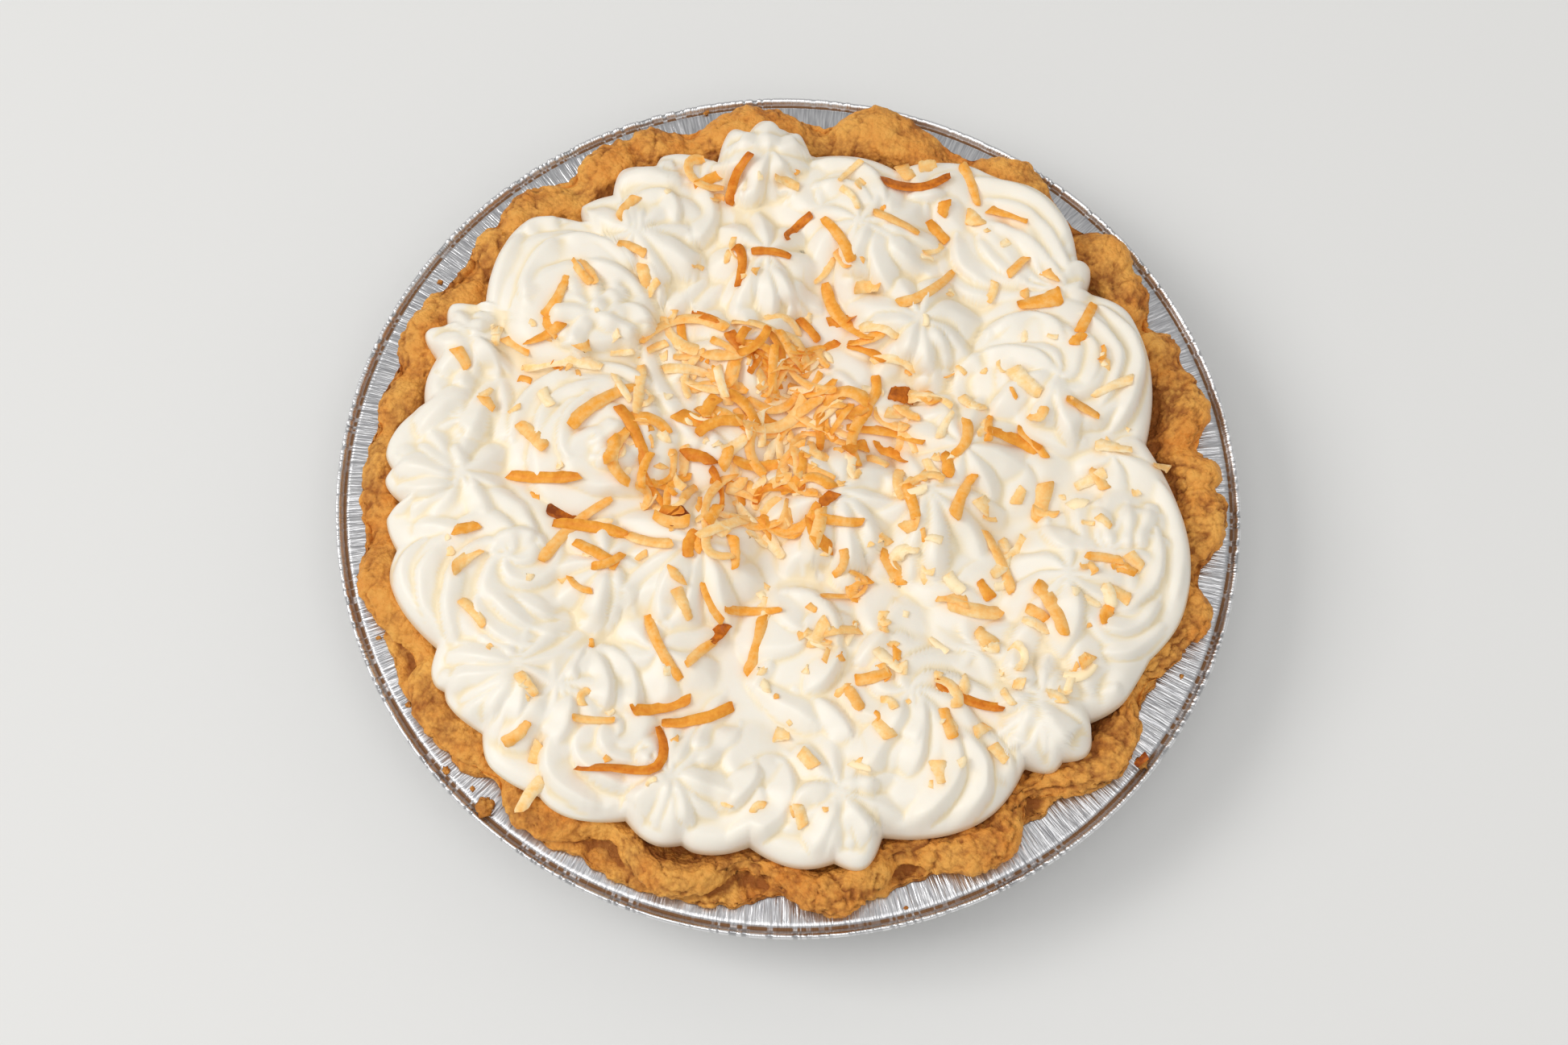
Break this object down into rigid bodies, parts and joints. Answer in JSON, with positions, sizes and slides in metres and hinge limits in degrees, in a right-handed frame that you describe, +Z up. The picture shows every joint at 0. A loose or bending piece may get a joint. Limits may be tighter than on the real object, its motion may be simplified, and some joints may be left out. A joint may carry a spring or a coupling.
{
  "type": "coconut cream pie",
  "caption": "Whole uncut coconut cream pie in a foil tin: fluted golden crust, piped whipped cream rosettes and stars, toasted coconut strips.",
  "frame": {"origin": "centre of the tin's flat underside", "axes": "+Z up through the pie, +X to the picture's right, +Y away from its viewer"},
  "size_m": [0.245, 0.245, 0.055],
  "materials": {
    "foil": "bright pressed foil",
    "pastry": "baked golden brown pastry, rough",
    "cream": "soft whipped cream, satin",
    "toasted_coconut": "toasted coconut strips"
  },
  "bodies": {
    "root": {"foil_tin": "foil", "pie_crust": "pastry", "whipped_cream": "cream"}
  },
  "joints": []
}
